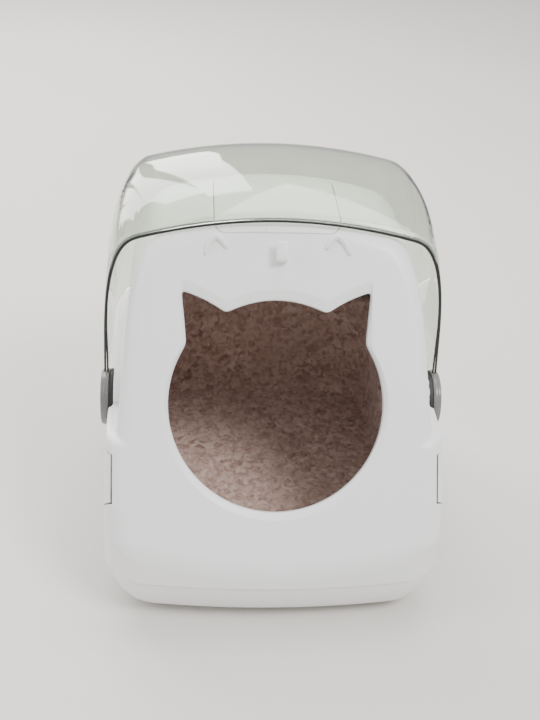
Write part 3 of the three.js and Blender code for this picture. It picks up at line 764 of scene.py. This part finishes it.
def hoodShell():
    low = lowestPhi(alphas)
    bead, reach = beadInset, hood["reach"]
    rows = []
    for t in backSteps:
        rows.append((low + (frontPhi - low) * t, np.zeros(len(alphas))))
    edge = 1.3
    rows[-1] = (np.full(len(alphas), frontPhi - edge / reach), np.zeros(len(alphas)))
    rows.append((np.full(len(alphas), frontPhi - 0.35 / reach), np.full(len(alphas), 0.35)))
    rows.append((np.full(len(alphas), frontPhi), np.full(len(alphas), edge)))
    rows.append((np.full(len(alphas), frontPhi), bead - edge))
    rows.append((np.full(len(alphas), frontPhi - 0.35 / reach), bead - 0.35))
    rows.append((np.full(len(alphas), frontPhi - edge / reach), bead))
    rows.append((np.full(len(alphas), frontPhi - 5.0 / reach), bead))
    rows.append((np.full(len(alphas), frontPhi - 8.0 / reach), bead * 0.5 + hood["wall"] * 0.5))
    inner = frontPhi - 11.0 / reach
    for t in backSteps[::-1]:
        rows.append((low + (inner - low) * t, np.full(len(alphas), hood["wall"])))
    grid = np.stack([hoodPoints(alphas, phi, inset) for phi, inset in rows], axis=1)
    return makePiece("hoodShell", *skin(list(grid)), hoodSmoke, 50)


hoodPiece = hoodShell()
for side in (1, -1):
    arm = turned("arm", [(0, hood["armRadius"] - 1), (1, hood["armRadius"]), (6.0, hood["armRadius"]),
                         (6.9, hood["armRadius"] - 0.9)], 193.4, pivot["y"], pivot["z"], hoodSmoke, side, 96)
    well = turned("well", [(0, pivot["capRadius"] + 0.3), (20, pivot["capRadius"] + 0.3)], 196.6, pivot["y"],
                  pivot["z"], hoodSmoke, side, 96)
    hole = turned("hole", [(0, 4.35), (30, 4.35)], 185, pivot["y"], pivot["z"], hoodSmoke, side, 32)
    carve(hoodPiece, arm, "UNION")
    carve(hoodPiece, well)
    carve(hoodPiece, hole)
    drop(arm, well, hole)
# The round arm ends are moulded in the caps' grey plastic.
hoodPiece.data.materials.append(capGrey)
for face in hoodPiece.data.polygons:
    x, y, z = np.array(face.center) / mm - (0, shiftY, 0)
    if math.hypot(y - pivot["y"], z - pivot["z"]) < hood["armRadius"] + 0.4 and abs(x) > 193:
        face.material_index = 1
shadeByAngle(hoodPiece, 50)
ride(hoodPiece, "hood", "hood_smoke", "hood_shell")


# The clear rim looks dark edge-on because of refraction. That look is painted onto the rim's front face as
# two opaque bands: a black band of painted shade inside and a thin grey-green line of painted refraction
# outside.
def rimStrip(name, inset, width, material, swell):
    turn = np.degrees(np.minimum(alphas, math.pi - alphas))
    wide = width * (1 + swell * np.sin(np.clip((turn - 12) / 60, 0, 1) * math.pi) ** 2)
    section = [(-0.9, -0.05), (0.25, -0.05), (0.45, 0.1), (0.45, 0.85), (0.25, 1.0), (-0.9, 1.0)]
    loops = [hoodPoints(alphas, np.full(len(alphas), frontPhi + ahead / hood["reach"]), inset - wide * out)
             for ahead, out in section]
    return makePiece(name, *skin(list(np.stack(loops, axis=1))), material, 60)


# Opaque bands laid on the clear rim: painted shade and painted refraction, not dark parts.
ride(rimStrip("hoodRimPaintedShade", beadInset + 0.1, hood["paintedShadeEdge"], rimPaintedShade, 0.6), "hood", "washer_black")
ride(rimStrip("hoodRimPaintedRefraction", 0.75, 0.6, rimPaintedRefraction, 0.0), "hood", "washer_black")
print("hood ready")

# ---- pivot caps and washers ----

for side, name in ((1, "right"), (-1, "left")):
    r, depth = pivot["capRadius"], pivot["capOuterX"] - pivot["capX"]
    cap = turned("pivotCap" + name.capitalize(),
                 [(0, r - 0.4), (0.4, r), (depth - 2.2, r), (depth - 1.5, r - 0.2), (depth - 0.8, r - 0.8),
                  (depth - 0.3, r - 1.7), (depth - 0.05, r - 3), (depth, r - 5), (depth, r - 8),
                  (depth - 0.5, r - 8.6), (depth - 0.5, 12)],
                 pivot["capX"], pivot["y"], pivot["z"], capGrey, side, 96)
    r, depth = pivot["washerRadius"], pivot["washerOuterX"] - pivot["washerX"]
    washer = turned("pivotWasher" + name.capitalize(),
                    [(0, r - 0.8), (0.8, r), (depth - 0.8, r), (depth, r - 0.8)],
                    pivot["washerX"], pivot["y"], pivot["z"], washerBlack, side, 96)
    ride(cap, "hood", "cap_grey", "pivot_cap_" + name)
    ride(washer, "housing", "washer_black", "pivot_washer_" + name)
print("pivots ready")

# ---- tray and feet ----

tray = {"lipInset": 4.2, "feet": [(-120, 60), (120, 60), (-110, 400), (110, 400)], "footRadius": 12.35}


def arcInset(distance, radius):
    return radius - np.sqrt(np.maximum(0, radius * radius - np.maximum(0, distance) ** 2))


def trayLevel(z, inset, followFace):
    s = shellForm
    lean = s["lean"] * max(0, z - s["seamZ"])
    half, rear, corner = s["halfWidth"] - lean - inset, s["rear"] - lean - inset, s["rearCorner"] - inset
    x = half * np.sin(np.linspace(-math.pi / 2, math.pi / 2, 61))
    fold = s["skirtCorner"] - inset * 0.5
    y = s["front"] + inset + 12 * (x / 160) ** 2 + arcInset(np.abs(x) - half + fold, fold)
    if followFace:
        face = (z - faceFootZ) * math.tan(faceTilt) + 0.5 + inset / math.cos(faceTilt)
        face = face + arcInset(np.abs(x) - half + s["faceCorner"], s["faceCorner"])
        y = (y + face + np.sqrt((y - face) ** 2 + 16)) / 2
    turn = np.linspace(0, math.pi / 2, 20)
    right = [(half - corner + corner * math.cos(a), rear - corner + corner * math.sin(a)) for a in turn]
    plan = list(zip(x, y)) + right + [(-a, b) for a, b in right[::-1]]
    return [(a, b, z) for a, b in plan]


def trayShell():
    deep = tray["lipInset"]
    # Each row: height, how far inside the outer wall, whether it follows the sloping face.
    rows = [(4, 62, 0), (4, 40, 0), (5.2, 34, 0), (9, 28, 0), (13, 22.6, 0), (18, 18, 0), (24, 14.2, 0),
            (30, 11, 0), (37, 8, 0), (45, 5.4, 0), (54, 3.3, 0), (60.4, 2.1, 0), (61.3, 2.3, 0),
            (61.6, 3.2, 0), (61.6, deep, 1), (66, deep, 1), (75, deep, 1), (84, deep, 1), (93, deep, 1),
            (101.5, deep, 1), (103.2, deep + 0.5, 1), (104, deep + 1.5, 1), (103.2, deep + 2.5, 1),
            (101.5, deep + 3, 1), (90, deep + 3, 1), (78, deep + 3, 1), (66, deep + 3, 1), (58, 7.2, 0),
            (48, 9, 0), (40, 11.3, 0), (33, 14.5, 0), (27, 17.8, 0), (21, 21.6, 0), (16, 26.2, 0),
            (12, 31.5, 0), (9, 37, 0), (7.5, 43, 0), (7.5, 62, 0)]
    levels = [trayLevel(z, inset, follow) for z, inset, follow in rows]
    return makePiece("trayShell", *skin(levels), trayWhite, 40)


trayPiece = trayShell()
for x, y in tray["feet"]:
    r = tray["footRadius"]
    angles = np.linspace(0, 2 * math.pi, 48, endpoint=False)
    loops = [[(x + r * math.cos(a), y + r * math.sin(a), z) for a in angles] for z in (0, 6.1)]
    socket = makePiece("socket", *skin(loops), trayWhite)
    carve(trayPiece, socket)
    drop(socket)
shadeByAngle(trayPiece, 40)
ride(trayPiece, "tray", "tray_white", "base_tray")
print("tray ready")

# ---- fleece liner: the CAD pad is remeshed, puffed up by cloth simulation and covered in curls ----

liner = {"voxel": 5.0, "pressure": 4.0, "frames": 20, "mostPuff": 6.0, "wallClear": 4.0, "curl": 9.0,
         "pile": 4.6}


def meshPoints(piece):
    points = np.empty(len(piece.data.vertices) * 3)
    piece.data.vertices.foreach_get("co", points)
    return points.reshape(-1, 3) / mm - (0, shiftY, 0)


def setPoints(piece, points):
    piece.data.vertices.foreach_set("co", ((points + (0, shiftY, 0)) * mm).ravel())
    piece.data.update()


def meshNormals(piece):
    normals = np.empty(len(piece.data.vertices) * 3)
    piece.data.vertices.foreach_get("normal", normals)
    return normals.reshape(-1, 3)


# How far a point is from the tray's and the shell's inner walls.
def roomLeft(points):
    x, y, z = points.T
    wallInset = np.interp(z, [7.5, 12, 21, 33, 48, 58, 70], [43, 31.5, 21.5, 14.5, 9, 7.4, 7.4])
    body = -lowerField(x, y, np.maximum(z, 66), 30.0)
    return np.minimum(body - wallInset, z - 7.5)


# Tight curls: rounded cells of about the curl's size, each standing up from dark gaps.
def curlHeight(points):
    heights = np.empty(len(points))
    for i, p in enumerate(points):
        bent = Vector(p) / liner["curl"]
        bent += noise.noise_vector(bent * 0.6) * 0.55
        near = noise.voronoi(bent, distance_metric="DISTANCE")[0]
        heights[i] = near[1] - near[0] + 0.35 * noise.noise(bent * 2.6)
    return np.clip(heights, -0.2, 1.0)


def fleeceLiner():
    piece = copyOf(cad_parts["fleece_mat"], "fleeceLiner")
    piece.data.materials.clear()
    piece.data.materials.append(fleece)
    remesh = piece.modifiers.new("remesh", "REMESH")
    remesh.mode, remesh.voxel_size = "VOXEL", liner["voxel"] * mm
    applied(piece)
    rest = meshPoints(piece)
    cloth = piece.modifiers.new("cloth", "CLOTH")
    cloth.settings.use_pressure = True
    cloth.settings.uniform_pressure_force = liner["pressure"]
    cloth.settings.effector_weights.gravity = 0
    for step in range(1, liner["frames"] + 1):
        bpy.context.scene.frame_set(step)
    applied(piece)
    bpy.context.scene.frame_set(1)
    move = meshPoints(piece) - rest
    length = np.linalg.norm(move, axis=1, keepdims=True)
    move *= np.minimum(1, liner["mostPuff"] / np.maximum(length, 1e-6))
    rest = rest + move
    short = liner["wallClear"] - roomLeft(rest)
    setPoints(piece, rest)
    rest -= meshNormals(piece) * np.clip(short, 0, liner["mostPuff"])[:, None]
    setPoints(piece, rest)
    smooth = piece.modifiers.new("smooth", "SUBSURF")
    smooth.levels = smooth.render_levels = 1
    applied(piece)
    points = meshPoints(piece)
    pile = liner["pile"] * curlHeight(points) * np.clip(roomLeft(points) / 4, 0, 1)
    setPoints(piece, points + meshNormals(piece) * pile[:, None])
    shadeByAngle(piece, 180)
    return piece


linerPiece = fleeceLiner()
ride(linerPiece, "tray", "fleece", "fleece_mat")
print("liner ready:", len(linerPiece.data.polygons), "faces")

# ---- small CAD pieces that stay as they are, in their real finish ----

keptNodes = {f"tray_foot_{i}": footRubber for i in (1, 2, 3, 4)}
for side in ("right", "left"):
    keptNodes["pivot_screw_" + side] = keptNodes["latch_pin_" + side] = screwSteel
for name, material in keptNodes.items():
    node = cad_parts[name]
    node.data.materials.clear()
    node.data.materials.append(material)
    shadeByAngle(node, 40)

# ---- floor, lights and camera ----


# Pale matt studio floor: an even warm white with a barely visible cloudiness.
def paleFloor(name):
    material, tree, output, place = newMaterial(name)
    cloud = addNode(tree, "ShaderNodeTexNoise", {"Scale": 1.6, "Detail": 2.0}, {"Vector": place})
    colour = addNode(tree, "ShaderNodeMix", {"data_type": "RGBA", 6: linear("dcd8d2"), 7: linear("d6d2cc")},
                     {0: cloud.outputs["Fac"]})
    shader = addNode(tree, "ShaderNodeBsdfPrincipled", {"IOR": 1.45, "Roughness": 0.7},
                     {"Base Color": colour.outputs[2]})
    tree.links.new(shader.outputs["BSDF"], output.inputs["Surface"])
    return material


stage = {"floorHalf": 6.0, "world": 0.9}
floorMesh = bpy.data.meshes.new("floor")
reach = stage["floorHalf"]
floorCorners = [(-reach, -reach, 0), (reach, -reach, 0), (reach, reach, 0), (-reach, reach, 0)]
floorMesh.from_pydata(floorCorners, [], [(0, 1, 2, 3)])
floor = bpy.data.objects.new("floor", floorMesh)
bpy.context.scene.collection.objects.link(floor)
floorMesh.materials.append(paleFloor("pale_studio_floor"))

world = bpy.data.worlds.new("studio")
world.use_nodes = True
world.node_tree.nodes["Background"].inputs["Color"].default_value = linear("f4f5f7")
world.node_tree.nodes["Background"].inputs["Strength"].default_value = stage["world"]
bpy.context.scene.world = world


def areaLight(name, place, target, size, power, colour="ffffff"):
    lamp = bpy.data.lights.new(name, "AREA")
    lamp.shape, lamp.size, lamp.size_y = "RECTANGLE", size[0], size[1]
    lamp.energy, lamp.color = power, linear(colour)[:3]
    light = bpy.data.objects.new(name, lamp)
    light.location = place
    light.rotation_euler = (Vector(target) - Vector(place)).to_track_quat("-Z", "Y").to_euler()
    bpy.context.scene.collection.objects.link(light)
    return light


areaLight("front", (1.5, -1.6, 2.9), (0, 0, 0.2), (1.2, 1.2), 98)
areaLight("ceiling", (0.5, 0.7, 2.8), (0, 0, 0.3), (1.6, 1.6), 40)
areaLight("left", (-2.4, -0.6, 1.8), (0, 0, 0.25), (1.2, 1.9), 30)
# A tall window behind on the left, parted by its frame: its panes show as streaks on the hood.
for i, x in enumerate((-2.0, -1.45, -0.9, -0.35)):
    areaLight("pane" + str(i + 1), (x, 1.9, 1.75), (0, 0, 0.4), (0.42, 1.9), 21)

view = {"place": (-0.0930, -1.2094, 0.9852), "yaw": 4.46, "pitch": 32.35, "roll": 2.77, "lens": 57.5}


def studioCamera():
    yaw, pitch, roll = (math.radians(view[k]) for k in ("yaw", "pitch", "roll"))
    ahead = Vector((math.sin(yaw) * math.cos(pitch), math.cos(yaw) * math.cos(pitch), -math.sin(pitch)))
    right = Vector((math.cos(yaw), -math.sin(yaw), 0))
    up = right.cross(ahead)
    right, up = right * math.cos(roll) + up * math.sin(roll), up * math.cos(roll) - right * math.sin(roll)
    data = bpy.data.cameras.new("camera")
    data.sensor_width, data.lens = 36, view["lens"]
    camera = bpy.data.objects.new("camera", data)
    camera.matrix_world = Matrix((right, up, -ahead)).transposed().to_4x4()
    camera.location = view["place"]
    bpy.context.scene.collection.objects.link(camera)
    bpy.context.scene.camera = camera


studioCamera()
print("floor, lights and camera ready")
